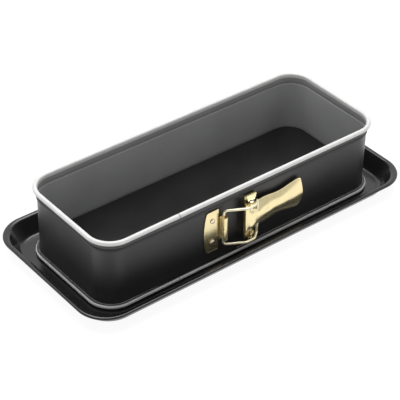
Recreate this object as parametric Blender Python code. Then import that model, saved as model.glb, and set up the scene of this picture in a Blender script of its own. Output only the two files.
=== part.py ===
"""Springform loaf pan: a deep-edged base tray, a sprung side band and an over-centre latch.

Metres, +Z up. X runs along the pan, the latch is on the -Y side, and the origin
lies under the middle of the tray, on the surface that the pan stands on.
"""
import math

import bmesh
import bpy
import numpy as np
from mathutils import Matrix, Vector

# Clearances
RUNNING_GAP = 0.0003
PIVOT_CLEARANCE = 0.0001
PLATFORM_CLEARANCE = 0.0005
CUT_OVERRUN = 0.002

# Side band: inside of the pan, rolled edges and pressed ridge
INNER_LENGTH = 0.300
INNER_WIDTH = 0.1115
INNER_CORNER_RADIUS = 0.020
BAND_SHEET = 0.0007
BAND_HEIGHT = 0.0706
BEAD_RADIUS = 0.0021
RIDGE_DROP = 0.0083
RIDGE_HALF_WIDTH = 0.0013
RIDGE_DEPTH = 0.0005
BEAD_UNDERCUT = 0.0005

# Band ends: the bead seam, the arm's tongue and the jog that lifts the tongue over the other end
BEAD_SEAM_X = -0.074
TONGUE_END_X = -0.012
JOG_START_X = -0.110
RIDGE_FADE = 0.006

# Base tray
TRAY_SHEET = 0.0008
TRAY_BORDER_AT_ENDS = 0.0262
TRAY_BORDER_AT_SIDES = 0.02575
TRAY_CORNER_RADIUS = 0.029
TRAY_HEIGHT = 0.0165
PLATFORM_HEIGHT = 0.0137
PLATFORM_EDGE_RADIUS = 0.0022
PLATFORM_FOOT_RADIUS = 0.0012
PLATFORM_BORDER = 0.010
LIP_BEAD_RADIUS = 0.0015
FLANGE_WIDTH = 0.0025
SIDE_RUN = 0.008
GUTTER_RADIUS = 0.004
BROW_RADIUS = 0.003

# Keeper: riveted plate with a hook along its right edge
KEEPER_SHEET = 0.0010
KEEPER_LEFT_X = -0.0465
KEEPER_RIGHT_X = -0.0340
KEEPER_BULGE = 0.0029
KEEPER_HALF_HEIGHT = 0.0212
HOOK_HALF_HEIGHT = 0.0122
HOOK_BEND_X = -0.0286
HOOK_ROOM = 0.0044
HOOK_END_X = -0.0315
KEEPER_RIVET_X = -0.0405
KEEPER_RIVET_RISE = 0.0111

# Rivets
RIVET_SHANK_RADIUS = 0.0012
RIVET_HEAD_RADIUS = 0.0023
RIVET_HEAD_HEIGHT = 0.0009

# Height of the latch over the middle of the wall
LATCH_RISE = 0.0008

# Lever pivot, measured outward from the band's outer face
PIVOT_X = -0.0035
PIVOT_STANDOFF = 0.0092
PIN_RADIUS = 0.0014
PIN_HEAD_RADIUS = 0.0021
PIN_HEAD_HEIGHT = 0.0008

# Bracket: plate with two ears
BRACKET_SHEET = 0.0010
BRACKET_LEFT_X = -0.0044
BRACKET_RIGHT_X = 0.0066
BRACKET_HALF_HEIGHT = 0.0192
EAR_END_RADIUS = 0.0026
EAR_SHOULDER = 0.0036
BRACKET_BEND_RADIUS = 0.0009
BRACKET_RIVET_X = 0.0012
BRACKET_RIVET_RISE = 0.0050

# Lever: arched handle, with a curl along its left end and a sleeve for the pin under its arch
LEVER_SHEET = 0.0009
LEVER_START_X = -0.0078
LEVER_END_X = 0.0585
LEVER_EDGE_AT_START = 0.0074
LEVER_EDGE_STANDOFF = 0.0030
LEVER_CREST_AT_PIVOT = 0.0125
LEVER_CREST_AT_TIP = 0.0062
LEVER_TIP_HALF_HEIGHT = 0.0150
LEVER_LIP = 0.0008
CURL_STANDOFF = 0.0080
CURL_RADIUS = 0.0016
CURL_TAPER = 0.0022
CURL_END_CLEARANCE = 0.0004
SLEEVE_RADIUS = 0.0025
SLEEVE_HALF_HEIGHT = 0.0055

# Bail: bent wire between the lever and the keeper's hook
WIRE_RADIUS = 0.0012
BAIL_PIVOT_X = 0.0046
BAIL_PIVOT_STANDOFF = 0.0082
BAIL_STUB_RISE = 0.0060
BAIL_LEG_RISE = 0.0180
BAIL_HOOK_X = -0.0294
BAIL_CORNER_RADIUS = 0.0035
BAIL_ELBOW_RADIUS = 0.0026
BAIL_BOW_RADIUS = 0.0055
BOW_RIGHT_X = -0.0026
BOW_LEFT_X = -0.0115
BOW_STANDOFF = 0.0139

# Steps of the round stretches
CORNER_STEPS = 8
BEAD_STEPS = 9
FILLET_STEPS = 4
ROUND_SIDES = 20
WIRE_RESOLUTION = 3
BEAD_END_DEGREES = -110
LIP_END_DEGREES = -160

# Sizes, heights and faces that follow from the sizes above
TRAY_LENGTH = INNER_LENGTH + 2 * TRAY_BORDER_AT_ENDS
TRAY_WIDTH = INNER_WIDTH + 2 * TRAY_BORDER_AT_SIDES
FOOT_BEAD_Z = TRAY_SHEET + RUNNING_GAP + BEAD_RADIUS
RIM_BEAD_Z = FOOT_BEAD_Z + BAND_HEIGHT - 2 * BEAD_RADIUS
LATCH_Z = (FOOT_BEAD_Z + RIM_BEAD_Z) / 2 + LATCH_RISE
FRONT_FACE_Y = -(INNER_WIDTH / 2 + BAND_SHEET)
CURL_HALF_HEIGHT = BRACKET_HALF_HEIGHT - BRACKET_SHEET - CURL_END_CLEARANCE
TONGUE_LIFT = BAND_SHEET + RUNNING_GAP
TONGUE_FACE = TONGUE_LIFT
BEAD_SEAM_GAP = RUNNING_GAP


def clear_scene():
    for item in list(bpy.data.objects):
        bpy.data.objects.remove(item, do_unlink=True)


def material(name, colour, roughness, metallic):
    made = bpy.data.materials.new(name)
    made.use_nodes = True
    shader = made.node_tree.nodes["Principled BSDF"]
    shader.inputs["Base Color"].default_value = (*colour, 1)
    shader.inputs["Roughness"].default_value = roughness
    shader.inputs["Metallic"].default_value = metallic
    return made


def on_front(x, standoff, z):
    """Point in front of the latch side, standoff outward from the band's outer face."""
    return Vector((x, FRONT_FACE_Y - standoff, z))


def finish_mesh(mesh, look):
    mesh.materials.append(look)
    mesh.shade_smooth()
    mesh.set_sharp_from_angle(angle=math.radians(35))


def add_object(name, mesh, place, hinge=None):
    """Object for a mesh, with its origin at a world place; a hinge empty carries it."""
    made = bpy.data.objects.new(name, mesh)
    bpy.context.collection.objects.link(made)
    made.location = place
    if hinge is not None:
        made.location = Vector(place) - hinge.location
        made.parent = hinge
    return made


def hinge_empty(name, place):
    made = bpy.data.objects.new(name, None)
    made.location = place
    bpy.context.collection.objects.link(made)
    return made


def arc(centre, radius, start, end, steps):
    """Points on a circle in a profile plane, from one angle to another, in degrees."""
    turn = np.radians(np.linspace(start, end, steps + 1))
    return np.stack([centre[0] + radius * np.cos(turn), centre[1] + radius * np.sin(turn)], axis=1)


def rounded_path(corners, radii):
    """Polyline through the corners, each rounded to its radius; the ends have radius zero."""
    corners = np.array(corners, dtype=float)
    path = [corners[0]]
    for before, here, after, radius in zip(corners[:-2], corners[1:-1], corners[2:], radii):
        back = (before - here) / np.linalg.norm(before - here)
        ahead = (after - here) / np.linalg.norm(after - here)
        half = math.acos(np.clip(np.dot(back, ahead), -1, 1)) / 2
        reach = radius / math.tan(half)
        middle = here + (back + ahead) / np.linalg.norm(back + ahead) * radius / math.sin(half)
        first = here + back * reach - middle
        last = here + ahead * reach - middle
        sweep = math.pi - 2 * half
        for step in range(FILLET_STEPS + 1):
            share = step / FILLET_STEPS
            blend = first * math.sin((1 - share) * sweep) + last * math.sin(share * sweep)
            path.append(middle + blend / math.sin(sweep))
    path.append(corners[-1])
    return np.array(path)


def sheet_faces(path, thickness):
    """Left and right face of a sheet whose middle follows a path in a profile plane."""
    ahead = np.diff(path, axis=0)
    ahead /= np.linalg.norm(ahead, axis=1)[:, None]
    side = np.stack([-ahead[:, 1], ahead[:, 0]], axis=1)
    mitre = np.vstack([side[:1], side[:-1] + side[1:], side[-1:]])
    mitre /= np.linalg.norm(mitre, axis=1)[:, None]
    nearest = np.vstack([side[:1], side[1:], side[-1:]])
    reach = thickness / 2 / np.sum(mitre * nearest, axis=1)
    return path + mitre * reach[:, None], path - mitre * reach[:, None]


def sheet_solid(name, left, right, look, present=None, ring=False, capped=False, hinge=None):
    """Closed solid of a sheet given as a grid of places on its two faces.

    left and right are [row, column, xyz]. present says which cells of the grid the
    sheet fills; a ring joins the last row to the first, and a capped ring is closed
    across its first column by one face on each side.
    """
    rows, columns = left.shape[:2]
    bands = rows if ring else rows - 1
    if present is None:
        present = np.ones((bands, columns - 1), dtype=bool)
    build = bmesh.new()
    corners = {}

    def corner(side, row, column):
        key = (side, row % rows, column)
        if key not in corners:
            face = left if side == 0 else right
            corners[key] = build.verts.new(face[key[1], column])
        return corners[key]

    def filled(row, column):
        if ring:
            row %= bands
        return 0 <= row < bands and 0 <= column < columns - 1 and present[row, column]

    for row in range(bands):
        for column in range(columns - 1):
            if not present[row, column]:
                continue
            cell = [(row, column), (row, column + 1), (row + 1, column + 1), (row + 1, column)]
            build.faces.new([corner(0, *place) for place in cell])
            build.faces.new([corner(1, *place) for place in reversed(cell)])
            neighbours = [(row - 1, column), (row, column + 1), (row + 1, column), (row, column - 1)]
            for index, neighbour in enumerate(neighbours):
                if filled(*neighbour) or (capped and neighbour[1] < 0):
                    continue
                start, end = cell[index], cell[(index + 1) % 4]
                build.faces.new([corner(0, *end), corner(0, *start), corner(1, *start), corner(1, *end)])
    if capped:
        build.faces.new([corner(0, row, 0) for row in range(rows)])
        build.faces.new([corner(1, row, 0) for row in reversed(range(rows))])
    bmesh.ops.recalc_face_normals(build, faces=build.faces)
    mesh = bpy.data.meshes.new(name)
    build.to_mesh(mesh)
    build.free()
    origin = Vector((0, 0, 0)) if hinge is None else hinge.location
    mesh.transform(Matrix.Translation(-origin))
    finish_mesh(mesh, look)
    return add_object(name, mesh, origin, hinge)


def turned_mesh(name, outline, axis, look):
    """Round solid about its own origin, from (distance along the axis, radius) pairs."""
    build = bmesh.new()
    turn = Vector((0, 0, 1)).rotation_difference(Vector(axis)).to_matrix()
    rings = []
    for along, radius in outline:
        ring = []
        for side in range(ROUND_SIDES):
            angle = math.tau * side / ROUND_SIDES
            local = Vector((radius * math.cos(angle), radius * math.sin(angle), along))
            ring.append(build.verts.new(turn @ local))
        rings.append(ring)
    for lower, upper in zip(rings[:-1], rings[1:]):
        for side in range(ROUND_SIDES):
            after = (side + 1) % ROUND_SIDES
            build.faces.new([lower[side], lower[after], upper[after], upper[side]])
    build.faces.new(list(reversed(rings[0])))
    build.faces.new(rings[-1])
    bmesh.ops.recalc_face_normals(build, faces=build.faces)
    mesh = bpy.data.meshes.new(name)
    build.to_mesh(mesh)
    build.free()
    finish_mesh(mesh, look)
    return mesh


def combine(target, tool, operation):
    """Boolean between a piece and a helper that isn't a piece itself."""
    step = target.modifiers.new(tool.name, "BOOLEAN")
    step.operation = operation
    step.solver = "EXACT"
    step.object = tool
    tool.hide_render = True
    tool.display_type = "WIRE"


def rounded_rectangle(half_length, half_width, radius):
    """Corner stretches of a rounded rectangle seen from above, anticlockwise from +X."""
    points = []
    for turn, sign_x, sign_y in ((0, 1, 1), (90, -1, 1), (180, -1, -1), (270, 1, -1)):
        centre = (sign_x * (half_length - radius), sign_y * (half_width - radius))
        points.append(arc(centre, radius, turn, turn + 90, CORNER_STEPS))
    return np.vstack(points)


def build_tray(look):
    """Pressed base: raised floor, flat gutter, steep sides and a rolled lip."""
    half_sheet = TRAY_SHEET / 2
    platform_half_length = INNER_LENGTH / 2 - PLATFORM_CLEARANCE
    platform_half_width = INNER_WIDTH / 2 - PLATFORM_CLEARANCE
    platform_radius = INNER_CORNER_RADIUS - PLATFORM_CLEARANCE
    overhang_length = TRAY_LENGTH / 2 - platform_half_length
    overhang_width = TRAY_WIDTH / 2 - platform_half_width
    lip_out = overhang_length - LIP_BEAD_RADIUS
    lip_z = TRAY_HEIGHT - LIP_BEAD_RADIUS
    lip_path = arc((lip_out, lip_z), LIP_BEAD_RADIUS - half_sheet, 90, LIP_END_DEGREES, BEAD_STEPS)
    brow_out = lip_out - FLANGE_WIDTH
    corners = [
        (-PLATFORM_BORDER, PLATFORM_HEIGHT - half_sheet),
        (-half_sheet, PLATFORM_HEIGHT - half_sheet),
        (-half_sheet, half_sheet),
        (brow_out - SIDE_RUN, half_sheet),
        (brow_out, TRAY_HEIGHT - half_sheet),
        tuple(lip_path[0]),
    ]
    radii = [PLATFORM_EDGE_RADIUS, PLATFORM_FOOT_RADIUS, GUTTER_RADIUS, BROW_RADIUS]
    path = np.vstack([rounded_path(corners, radii)[:-1], lip_path])
    faces = []
    for profile in sheet_faces(path, TRAY_SHEET):
        rings = []
        for out, height in profile:
            share = out / overhang_length
            plan = rounded_rectangle(
                platform_half_length + out,
                platform_half_width + share * overhang_width,
                platform_radius + share * (TRAY_CORNER_RADIUS - platform_radius),
            )
            rings.append(np.column_stack([plan, np.full(len(plan), height)]))
        faces.append(np.array(rings).transpose(1, 0, 2))
    return sheet_solid("base_tray", faces[0], faces[1], look, ring=True, capped=True)


def band_profile(ridge):
    """Middle of the band's sheet as (outward, height), with both rolled edges.

    Returns the path and the first and last index of the flat wall between the beads.
    """
    middle = BAND_SHEET / 2
    rim = arc((BEAD_RADIUS, RIM_BEAD_Z), BEAD_RADIUS - middle, 180, BEAD_END_DEGREES, BEAD_STEPS)
    foot = rim[::-1] * (1, -1) + (0, RIM_BEAD_Z + FOOT_BEAD_Z)
    wall_top = RIM_BEAD_Z - BEAD_RADIUS - BEAD_UNDERCUT
    wall_bottom = FOOT_BEAD_Z + BEAD_RADIUS + BEAD_UNDERCUT
    ridge_z = RIM_BEAD_Z - RIDGE_DROP
    wall = np.array([
        (middle, wall_bottom),
        (middle, ridge_z - RIDGE_HALF_WIDTH),
        (middle + ridge * RIDGE_DEPTH * 0.75, ridge_z - RIDGE_HALF_WIDTH * 0.4),
        (middle + ridge * RIDGE_DEPTH, ridge_z),
        (middle + ridge * RIDGE_DEPTH * 0.75, ridge_z + RIDGE_HALF_WIDTH * 0.4),
        (middle, ridge_z + RIDGE_HALF_WIDTH),
        (middle, wall_top),
    ])
    return np.vstack([foot, wall, rim]), len(foot), len(foot) + len(wall) - 1


def band_grid(stations):
    """Faces of the band at stations of (x, y, outward x, outward y, ridge, lift).

    lift moves the flat wall outward and leaves the rolled edges where they are.
    """
    left, right = [], []
    for x, y, out_x, out_y, ridge, lift in stations:
        path, first, last = band_profile(ridge)
        path[first:last + 1, 0] += lift
        for rows, profile in zip((left, right), sheet_faces(path, BAND_SHEET)):
            out = profile[:, 0]
            rows.append(np.column_stack([x + out_x * out, y + out_y * out, profile[:, 1]]))
    return np.array(left), np.array(right), first, last


def corner_stations(sign_x, sign_y, start):
    """Stations round one corner of the band, from a start angle through a quarter turn."""
    centre = (
        sign_x * (INNER_LENGTH / 2 - INNER_CORNER_RADIUS),
        sign_y * (INNER_WIDTH / 2 - INNER_CORNER_RADIUS),
    )
    spots = arc(centre, INNER_CORNER_RADIUS, start, start + 90, CORNER_STEPS)
    return [(x, y, (x - centre[0]) / INNER_CORNER_RADIUS, (y - centre[1]) / INNER_CORNER_RADIUS, 1, 0)
            for x, y in spots]


def front_station(x, ridge, lift):
    return (x, -INNER_WIDTH / 2, 0, -1, ridge, lift)


def arm_hinge_place():
    """Vertical line on the rolled edge where the free arm flexes, at the back left corner."""
    return Vector((
        -(INNER_LENGTH / 2 - INNER_CORNER_RADIUS),
        INNER_WIDTH / 2 + 2 * BEAD_RADIUS,
        FOOT_BEAD_Z - BEAD_RADIUS,
    ))


def build_band_main(look):
    """Fixed part of the band: from the bead seam right round to the back left corner."""
    half_gap = BEAD_SEAM_GAP / 2
    ridge_start = TONGUE_END_X + RUNNING_GAP
    stations = [
        front_station(BEAD_SEAM_X + half_gap, 0, 0),
        front_station(ridge_start, 0, 0),
        front_station(ridge_start + RIDGE_FADE, 1, 0),
    ]
    stations += corner_stations(1, -1, 270)
    stations += corner_stations(1, 1, 0)
    hinge = arm_hinge_place()
    stations.append((hinge.x + half_gap, INNER_WIDTH / 2, 0, 1, 1, 0))
    left, right, _, _ = band_grid(stations)
    return sheet_solid("band_main", left, right, look)


def build_band_arm(look, hinge):
    """Free arm of the band: left end, front left corner and the tongue under the latch."""
    half_gap = BEAD_SEAM_GAP / 2
    back = arm_hinge_place()
    stations = [(back.x - half_gap, INNER_WIDTH / 2, 0, 1, 1, 0)]
    stations += corner_stations(-1, 1, 90)[1:]
    stations += corner_stations(-1, -1, 180)
    jog_end = BEAD_SEAM_X - half_gap
    for step in range(FILLET_STEPS + 1):
        share = step / FILLET_STEPS
        lift = TONGUE_LIFT * (1 - math.cos(math.pi * share)) / 2
        stations.append(front_station(JOG_START_X + share * (jog_end - JOG_START_X), 1, lift))
    beaded = len(stations) - 1
    stations.append(front_station(TONGUE_END_X, 1, TONGUE_LIFT))
    left, right, first, last = band_grid(stations)
    present = np.ones((len(stations) - 1, left.shape[1] - 1), dtype=bool)
    present[beaded:, :first] = False
    present[beaded:, last:] = False
    return sheet_solid("band_arm", left, right, look, present=present, hinge=hinge)


def build_keeper(look, hinge):
    """Keeper plate with an arched left edge; its right edge is curled into the bail's hook."""
    middle = TONGUE_FACE + RUNNING_GAP + KEEPER_SHEET / 2
    bend_radius = (HOOK_ROOM + KEEPER_SHEET) / 2
    bend = arc((HOOK_BEND_X, middle + bend_radius), bend_radius, -90, 90, 2 * FILLET_STEPS)
    inner_columns = [KEEPER_LEFT_X, (KEEPER_LEFT_X + KEEPER_RIGHT_X) / 2, KEEPER_RIGHT_X]
    path = np.vstack([
        [(x, middle) for x in inner_columns],
        bend,
        [(HOOK_END_X, middle + 2 * bend_radius)],
    ])
    plate_columns = len(inner_columns) - 1
    edge_share = HOOK_HALF_HEIGHT / KEEPER_HALF_HEIGHT
    height_shares = [-1, -0.95, -0.8, -edge_share, -0.2, 0.2, edge_share, 0.8, 0.95, 1]
    faces = []
    for profile in sheet_faces(path, KEEPER_SHEET):
        rows = []
        for share in height_shares:
            x = profile[:, 0].copy()
            x[0] -= KEEPER_BULGE * (1 - share ** 2)
            if abs(share) == 1:
                x[0] += KEEPER_BULGE / 2
            height = np.full(len(x), LATCH_Z + share * KEEPER_HALF_HEIGHT)
            rows.append(np.column_stack([x, FRONT_FACE_Y - profile[:, 1], height]))
        faces.append(np.array(rows))
    present = np.ones((len(height_shares) - 1, len(path) - 1), dtype=bool)
    for row, share in enumerate(height_shares[:-1]):
        if share < -edge_share or share >= edge_share:
            present[row, plate_columns:] = False
    return sheet_solid("keeper_plate", faces[0], faces[1], look, present=present, hinge=hinge)


def build_rivets(name, x, rise, inner_face, outer_face, look, hinge=None):
    """Pair of domed rivets, set flush on the inside of the band."""
    under_head = outer_face + RUNNING_GAP - inner_face
    outline = [(0, RIVET_SHANK_RADIUS), (under_head, RIVET_SHANK_RADIUS), (under_head, RIVET_HEAD_RADIUS)]
    for turn in (30, 60, 85):
        angle = math.radians(turn)
        outline.append((
            under_head + RIVET_HEAD_HEIGHT * math.sin(angle),
            RIVET_HEAD_RADIUS * math.cos(angle),
        ))
    mesh = turned_mesh(name, outline, (0, -1, 0), look)
    for ending, side in (("lower", -1), ("upper", 1)):
        add_object(f"{name}_{ending}", mesh, on_front(x, inner_face, LATCH_Z + side * rise), hinge)


def rivet_holes(target, x, rise, inner_face, outer_face, look, hinge=None):
    """Clearance holes through a piece at a pair of rivets."""
    depth = outer_face - inner_face + 2 * CUT_OVERRUN
    radius = RIVET_SHANK_RADIUS + RUNNING_GAP
    mesh = turned_mesh("rivet_hole", [(0, radius), (depth, radius)], (0, -1, 0), look)
    for side in (-1, 1):
        place = on_front(x, inner_face - CUT_OVERRUN, LATCH_Z + side * rise)
        tool = add_object(f"{target.name}_hole_{side}", mesh, place, hinge)
        combine(target, tool, "DIFFERENCE")


def pin_cutter(name, x, standoff, radius, half_height, look, hinge=None):
    mesh = turned_mesh(name, [(-half_height, radius), (half_height, radius)], (0, 0, 1), look)
    return add_object(name, mesh, on_front(x, standoff, LATCH_Z), hinge)


def build_bracket(look):
    """Bracket: a plate on the band with an ear above and below that carry the lever's pin."""
    middle = RUNNING_GAP + BRACKET_SHEET / 2
    rise = BRACKET_HALF_HEIGHT - BRACKET_SHEET / 2
    ear_end = PIVOT_STANDOFF + EAR_END_RADIUS
    corners = [(ear_end, -rise), (middle, -rise), (middle, rise), (ear_end, rise)]
    bent = rounded_path(corners, [BRACKET_BEND_RADIUS, BRACKET_BEND_RADIUS])
    ear_standoffs = [ear_end]
    for turn in (65, 45, 20, 0):
        ear_standoffs.append(PIVOT_STANDOFF + EAR_END_RADIUS * math.sin(math.radians(turn)))
    ear_standoffs.append(EAR_SHOULDER)
    lower = np.array([(standoff, -rise) for standoff in ear_standoffs])
    upper = lower[::-1] * (1, -1)
    path = np.vstack([lower, bent[1:-1], upper])
    faces = []
    for profile in sheet_faces(path, BRACKET_SHEET):
        rows = []
        for (standoff, height), (on_path, _) in zip(profile, path):
            rows.append([
                on_front(bracket_edge(on_path, -1), standoff, LATCH_Z + height),
                on_front(bracket_edge(on_path, 1), standoff, LATCH_Z + height),
            ])
        faces.append(np.array(rows))
    return sheet_solid("latch_bracket", faces[0], faces[1], look)


def bracket_edge(standoff, side):
    """X of the bracket's left (-1) or right (1) edge at a distance from the band."""
    foot = BRACKET_LEFT_X if side < 0 else BRACKET_RIGHT_X
    shoulder = foot
    if standoff >= PIVOT_STANDOFF:
        share = (standoff - PIVOT_STANDOFF) / EAR_END_RADIUS
        half = EAR_END_RADIUS * math.sqrt(max(0, 1 - share ** 2))
        return PIVOT_X + side * max(half, EAR_END_RADIUS / 4)
    if standoff <= EAR_SHOULDER:
        return shoulder
    share = (standoff - EAR_SHOULDER) / (PIVOT_STANDOFF - EAR_SHOULDER)
    return shoulder + share * (PIVOT_X + side * EAR_END_RADIUS - shoulder)


def lever_section(x, half_height, crest, edge):
    """Arched cross-section of the lever with a narrow splayed lip along each edge."""
    shares = np.array([-1, -0.94, -0.82, -0.62, -0.33, 0, 0.33, 0.62, 0.82, 0.94, 1])
    heights = shares * half_height
    swell = (1 - np.abs(shares) ** 3) ** 0.9
    standoffs = edge + LEVER_SHEET / 2 + (crest - edge - LEVER_SHEET) * swell
    heights = np.concatenate([[heights[0] - LEVER_LIP], heights, [heights[-1] + LEVER_LIP]])
    standoffs = np.concatenate([standoffs[:1], standoffs, standoffs[-1:]])
    rows = []
    for profile in sheet_faces(np.column_stack([heights, standoffs]), LEVER_SHEET):
        rows.append([on_front(x, standoff, LATCH_Z + height) for height, standoff in profile])
    return rows


def build_lever(look, hinge):
    """Lever: an arched handle, waisted and flared at its tip, with a curl along its left end.

    Each station gives its place along the lever, and its half height, its crest and the
    lift of its edges off the wall as shares of the lever's own sizes.
    """
    station_shares = [
        (0.000, 1.17, 0.50, 1.00), (0.024, 0.96, 0.72, 0.85), (0.050, 0.85, 0.90, 0.62),
        (0.100, 0.83, 1.00, 0.34), (0.190, 0.87, 0.90, 0.10), (0.270, 0.92, 0.72, 0.00),
        (0.370, 0.91, 0.50, 0.00), (0.460, 0.87, 0.36, 0.00), (0.560, 0.80, 0.24, 0.00),
        (0.670, 0.80, 0.18, 0.00), (0.790, 0.90, 0.14, 0.00), (0.890, 0.97, 0.10, 0.00),
        (0.955, 1.00, 0.05, 0.00), (0.985, 0.98, 0.02, 0.00), (1.000, 0.90, 0.00, 0.00),
    ]
    rows = [[], []]
    for along_share, height_share, crest_share, edge_share in station_shares:
        x = LEVER_START_X + along_share * (LEVER_END_X - LEVER_START_X)
        crest = LEVER_CREST_AT_TIP + crest_share * (LEVER_CREST_AT_PIVOT - LEVER_CREST_AT_TIP)
        edge = LEVER_EDGE_STANDOFF + edge_share * (LEVER_EDGE_AT_START - LEVER_EDGE_STANDOFF)
        half_height = height_share * LEVER_TIP_HALF_HEIGHT - LEVER_LIP
        section = lever_section(x, half_height, crest, edge)
        rows[0].append(section[0])
        rows[1].append(section[1])
    lever = sheet_solid("lever", np.array(rows[0]), np.array(rows[1]), look, hinge=hinge)

    curl_straight = CURL_HALF_HEIGHT - CURL_TAPER
    outline = [
        (-CURL_HALF_HEIGHT, CURL_RADIUS / 2), (-curl_straight, CURL_RADIUS),
        (curl_straight, CURL_RADIUS), (CURL_HALF_HEIGHT, CURL_RADIUS / 2),
    ]
    mesh = turned_mesh("lever_curl", outline, (0, 0, 1), look)
    combine(lever, add_object("lever_curl", mesh, on_front(LEVER_START_X, CURL_STANDOFF, LATCH_Z), hinge), "UNION")
    outline = [(-SLEEVE_HALF_HEIGHT, SLEEVE_RADIUS), (SLEEVE_HALF_HEIGHT, SLEEVE_RADIUS)]
    mesh = turned_mesh("lever_sleeve", outline, (0, 0, 1), look)
    combine(lever, add_object("lever_sleeve", mesh, on_front(PIVOT_X, PIVOT_STANDOFF, LATCH_Z), hinge), "UNION")

    through = BRACKET_HALF_HEIGHT + CUT_OVERRUN
    bore = pin_cutter("lever_bore", PIVOT_X, PIVOT_STANDOFF, PIN_RADIUS + PIVOT_CLEARANCE, through, look, hinge)
    combine(lever, bore, "DIFFERENCE")
    bail_bore = pin_cutter("bail_bore", BAIL_PIVOT_X, BAIL_PIVOT_STANDOFF, WIRE_RADIUS + PIVOT_CLEARANCE,
                           through, look, hinge)
    combine(lever, bail_bore, "DIFFERENCE")
    return lever


def build_pin(look):
    """Headed pin through both ears and the lever's sleeve."""
    shank = BRACKET_HALF_HEIGHT + RUNNING_GAP
    outline = [
        (-shank - PIN_HEAD_HEIGHT, PIN_HEAD_RADIUS * 0.7), (-shank, PIN_HEAD_RADIUS),
        (-shank, PIN_RADIUS), (shank, PIN_RADIUS),
        (shank, PIN_HEAD_RADIUS), (shank + PIN_HEAD_HEIGHT, PIN_HEAD_RADIUS * 0.7),
    ]
    mesh = turned_mesh("lever_pin", outline, (0, 0, 1), look)
    return add_object("lever_pin", mesh, on_front(PIVOT_X, PIVOT_STANDOFF, LATCH_Z))


def build_bail(look, hinge):
    """Bent wire: a closed end in the hook, two flat legs that bow round the ears, two stubs."""
    hook_standoff = TONGUE_FACE + 2 * RUNNING_GAP + KEEPER_SHEET + WIRE_RADIUS
    half = [
        (BAIL_PIVOT_X, BAIL_PIVOT_STANDOFF, BAIL_STUB_RISE),
        (BAIL_PIVOT_X, BAIL_PIVOT_STANDOFF, BAIL_LEG_RISE),
        (BOW_RIGHT_X, BOW_STANDOFF, BAIL_LEG_RISE),
        (BOW_LEFT_X, BOW_STANDOFF, BAIL_LEG_RISE),
        (BAIL_HOOK_X, hook_standoff, BAIL_LEG_RISE),
    ]
    bends = [BAIL_ELBOW_RADIUS, BAIL_BOW_RADIUS, BAIL_BOW_RADIUS, BAIL_CORNER_RADIUS]
    corners = half + [(x, standoff, -rise) for x, standoff, rise in reversed(half)]
    path = rounded_path(corners, bends + bends[::-1])
    curve = bpy.data.curves.new("bail", "CURVE")
    curve.dimensions = "3D"
    curve.bevel_depth = WIRE_RADIUS
    curve.bevel_resolution = WIRE_RESOLUTION
    curve.use_fill_caps = True
    spline = curve.splines.new("POLY")
    spline.points.add(len(path) - 1)
    for point, (x, standoff, rise) in zip(spline.points, path):
        point.co = (*(on_front(x, standoff, LATCH_Z + rise) - hinge.location), 1)
    curve.materials.append(look)
    return add_object("bail", curve, hinge.location, hinge)


def main():
    clear_scene()
    tray_black = material("tray_nonstick", (0.012, 0.012, 0.013), 0.22, 0.0)
    band_grey = material("band_nonstick", (0.035, 0.035, 0.037), 0.38, 0.3)
    brass = material("latch_brass", (0.80, 0.66, 0.36), 0.25, 1.0)
    bright = material("rivet_brass", (0.86, 0.76, 0.50), 0.25, 1.0)

    arm_hinge = hinge_empty("arm_hinge", arm_hinge_place())
    lever_hinge = hinge_empty("lever_hinge", on_front(PIVOT_X, PIVOT_STANDOFF, LATCH_Z))
    bail_hinge = hinge_empty("bail_hinge", on_front(BAIL_PIVOT_X, BAIL_PIVOT_STANDOFF, LATCH_Z))

    build_tray(tray_black)
    band_main = build_band_main(band_grey)
    band_arm = build_band_arm(band_grey, arm_hinge)

    keeper = build_keeper(brass, arm_hinge)
    keeper_face = TONGUE_FACE + RUNNING_GAP + KEEPER_SHEET
    tongue_inner_face = TONGUE_FACE - BAND_SHEET
    build_rivets("keeper_rivet", KEEPER_RIVET_X, KEEPER_RIVET_RISE, tongue_inner_face, keeper_face,
                 bright, arm_hinge)
    for piece in (keeper, band_arm):
        rivet_holes(piece, KEEPER_RIVET_X, KEEPER_RIVET_RISE, tongue_inner_face, keeper_face,
                    brass, arm_hinge)

    bracket = build_bracket(brass)
    bracket_face = RUNNING_GAP + BRACKET_SHEET
    build_rivets("bracket_rivet", BRACKET_RIVET_X, BRACKET_RIVET_RISE, -BAND_SHEET, bracket_face, bright)
    for piece in (bracket, band_main):
        rivet_holes(piece, BRACKET_RIVET_X, BRACKET_RIVET_RISE, -BAND_SHEET, bracket_face, brass)
    ear_bore = pin_cutter("ear_bore", PIVOT_X, PIVOT_STANDOFF, PIN_RADIUS + PIVOT_CLEARANCE,
                          BRACKET_HALF_HEIGHT + CUT_OVERRUN, brass)
    combine(bracket, ear_bore, "DIFFERENCE")
    build_pin(bright)

    build_lever(brass, lever_hinge)
    build_bail(brass, bail_hinge)


main()
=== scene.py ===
"""Springform loaf pan, dressed: coated tray and side band, bare rolled edges, brass-plated latch."""
import math

import bpy
import numpy as np
from mathutils import Matrix, Vector


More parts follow.
